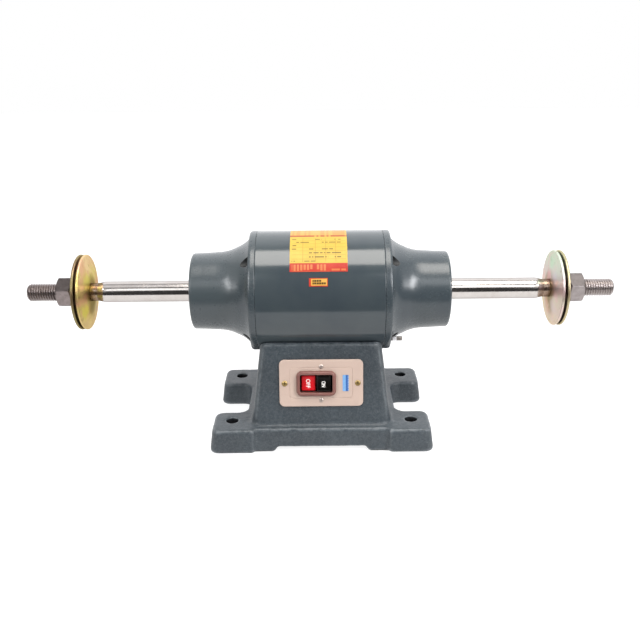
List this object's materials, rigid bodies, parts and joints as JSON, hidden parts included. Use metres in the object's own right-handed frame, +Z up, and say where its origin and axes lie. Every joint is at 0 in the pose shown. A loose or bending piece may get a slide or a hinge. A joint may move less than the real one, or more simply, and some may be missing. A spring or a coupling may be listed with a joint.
{
  "type": "dental polishing lathe",
  "caption": "Double-ended bench polishing motor on a cast pedestal, with threaded spindle ends, dished clamping flanges, hex nuts and a two-button switch.",
  "frame": {"origin": "on the bench, under the middle of the pedestal", "axes": "+X along the spindle towards the operator's right, +Y away from the operator, +Z up"},
  "size_m": [0.5416, 0.1438, 0.1872],
  "materials": {
    "cast_paint": "semi-gloss slate grey paint over a cast skin",
    "shell_paint": "gloss slate grey paint",
    "bell_paint": "gloss slate grey paint",
    "zinc_steel": "bright zinc",
    "dark_steel": "dark oiled steel",
    "ground_steel": "ground and polished",
    "bearing_steel": "polished",
    "cage_steel": "pressed steel",
    "lamination": "varnished laminations",
    "copper": "varnished copper wire",
    "rotor_alu": "die-cast or drawn aluminium",
    "black_rubber": "matt",
    "passivated_steel": "yellow passivated zinc with an iridescent cast",
    "nut_steel": "dull steel",
    "cream_plastic": "satin cream moulding",
    "mauve_plastic": "satin brown-grey moulding",
    "black_plastic": "satin black moulding",
    "on_black": "gloss black moulding",
    "off_red": "gloss red moulding",
    "link_plastic": "natural nylon",
    "brass": "dulled brass",
    "label_blue": "printed film",
    "label_yellow": "printed film",
    "label_orange": "printed film",
    "lead_plastic": "insulated wire"
  },
  "bodies": {
    "base": {"pedestal_casting": "cast_paint", "bottom_cover": "zinc_steel", "bottom_cover_screws": "zinc_steel", "motor_shell": "shell_paint", "shell_weld_studs": "zinc_steel", "stud_washers": "zinc_steel", "stud_nuts": "zinc_steel", "left_end_bell": "bell_paint", "right_end_bell": "bell_paint", "through_bolts": "dark_steel", "through_bolt_washers": "zinc_steel", "through_bolt_nuts": "dark_steel", "stator_core": "lamination", "stator_winding": "copper", "left_bearing_outer_ring": "bearing_steel", "right_bearing_outer_ring": "bearing_steel", "bearing_shields": "cage_steel", "preload_wave_washer": "cage_steel", "left_shaft_seal": "black_rubber", "right_shaft_seal": "black_rubber", "switch_plate": "cream_plastic", "switch_bezel": "mauve_plastic", "switch_housing": "black_plastic", "seesaw_pin": "zinc_steel", "switch_terminals": "brass", "plate_screws": "brass", "switch_fixing_screws": "zinc_steel", "switch_label": "label_blue", "rating_label": "label_yellow", "notice_label": "label_orange", "run_capacitor": "rotor_alu", "capacitor_clamp": "zinc_steel", "terminal_block": "cream_plastic", "terminal_screws": "brass", "lead_bush": "black_rubber", "motor_leads": "lead_plastic", "cable_inlet_bush": "black_rubber", "earth_screw": "brass"},
    "spindle_body": {"spindle": "ground_steel", "rotor_core": "lamination", "rotor_end_rings": "rotor_alu", "left_bearing_inner_ring": "bearing_steel", "right_bearing_inner_ring": "bearing_steel", "left_inner_flange": "passivated_steel", "right_inner_flange": "passivated_steel"},
    "left_cage_body": {"left_bearing_balls": "bearing_steel", "left_bearing_cage": "cage_steel"},
    "right_cage_body": {"right_bearing_balls": "bearing_steel", "right_bearing_cage": "cage_steel"},
    "left_clamp_body": {"left_outer_flange": "passivated_steel", "left_spring_washer": "dark_steel"},
    "right_clamp_body": {"right_outer_flange": "passivated_steel", "right_spring_washer": "dark_steel"},
    "left_nut_body": {"left_nut": "nut_steel"},
    "right_nut_body": {"right_nut": "nut_steel"},
    "on_button_body": {"on_button": "on_black"},
    "off_button_body": {"off_button": "off_red"},
    "seesaw_body": {"seesaw_link": "link_plastic"}
  },
  "joints": [
    {"name": "spindle_spin", "type": "hinge", "parent": "base", "child": "spindle_body", "pos_m": [0, 0, 0.132], "axis": [1, 0, 0], "continuous": true},
    {"name": "left_cage_spin", "type": "hinge", "parent": "base", "child": "left_cage_body", "pos_m": [-0.1035, 0, 0.132], "axis": [1, 0, 0], "continuous": true},
    {"name": "right_cage_spin", "type": "hinge", "parent": "base", "child": "right_cage_body", "pos_m": [0.1035, 0, 0.132], "axis": [1, 0, 0], "continuous": true},
    {"name": "left_flange_slide", "type": "slide", "parent": "spindle_body", "child": "left_clamp_body", "axis": [-1, 0, 0], "range_m": [0, 0.024]},
    {"name": "right_flange_slide", "type": "slide", "parent": "spindle_body", "child": "right_clamp_body", "axis": [1, 0, 0], "range_m": [0, 0.024]},
    {"name": "left_nut_turn", "type": "hinge", "parent": "left_clamp_body", "child": "left_nut_body", "pos_m": [-0.236, 0, 0.132], "axis": [1, 0, 0], "range_deg": [0, 3741.7]},
    {"name": "right_nut_turn", "type": "hinge", "parent": "right_clamp_body", "child": "right_nut_body", "pos_m": [0.236, 0, 0.132], "axis": [1, 0, 0], "range_deg": [0, 3741.7]},
    {"name": "on_press", "type": "slide", "parent": "base", "child": "on_button_body", "axis": [0, 0.9816, -0.191], "range_m": [0, 0.003]},
    {"name": "off_press", "type": "slide", "parent": "base", "child": "off_button_body", "axis": [0, 0.9816, -0.191], "range_m": [-0.003, 0]},
    {"name": "seesaw_turn", "type": "hinge", "parent": "base", "child": "seesaw_body", "pos_m": [-0.0045, -0.04116, 0.05905], "axis": [0, 0.191, 0.9816], "range_deg": [0, 24.06]}
  ],
  "couplings": [
    {"joint": "left_cage_spin", "follows": "spindle_spin", "ratio": 0.3815},
    {"joint": "right_cage_spin", "follows": "spindle_spin", "ratio": 0.3815},
    {"joint": "left_nut_turn", "follows": "left_flange_slide", "rad_per_m": 2721.1},
    {"joint": "right_nut_turn", "follows": "right_flange_slide", "rad_per_m": 2721.1},
    {"joint": "off_press", "follows": "on_press", "ratio": -1},
    {"joint": "seesaw_turn", "follows": "on_press", "rad_per_m": 139.91}
  ]
}
